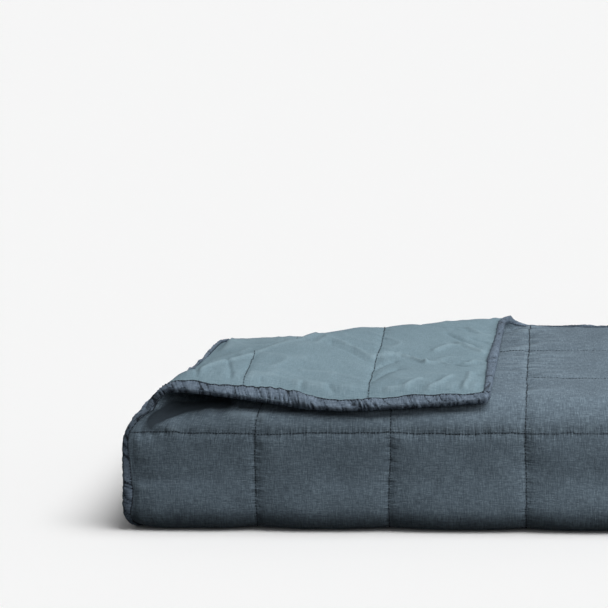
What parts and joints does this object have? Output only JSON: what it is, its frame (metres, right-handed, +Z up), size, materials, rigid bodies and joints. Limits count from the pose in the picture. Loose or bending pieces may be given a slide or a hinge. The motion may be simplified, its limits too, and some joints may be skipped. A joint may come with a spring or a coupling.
{
  "type": "folded linen quilt",
  "caption": "Folded reversible quilt with square quilting and a gathered bound edge, one top corner turned back to show the paler reverse.",
  "frame": {"origin": "bottom centre of the folded quilt's bounding box, on the surface that it lies on", "axes": "+X along the folded block towards its closed fold, +Y towards the back where the quilt's ends show, +Z up"},
  "size_m": [0.8968, 0.4456, 0.1751],
  "materials": {
    "face_linen": "matt slubby linen, dark slate blue",
    "reverse_linen": "matt soft linen, pale grey blue",
    "binding_linen": "matt linen strip, gathered, with dark thread"
  },
  "bodies": {
    "root": {"face_panel": "face_linen", "backing_panel": "reverse_linen", "binding": "binding_linen"}
  },
  "joints": []
}
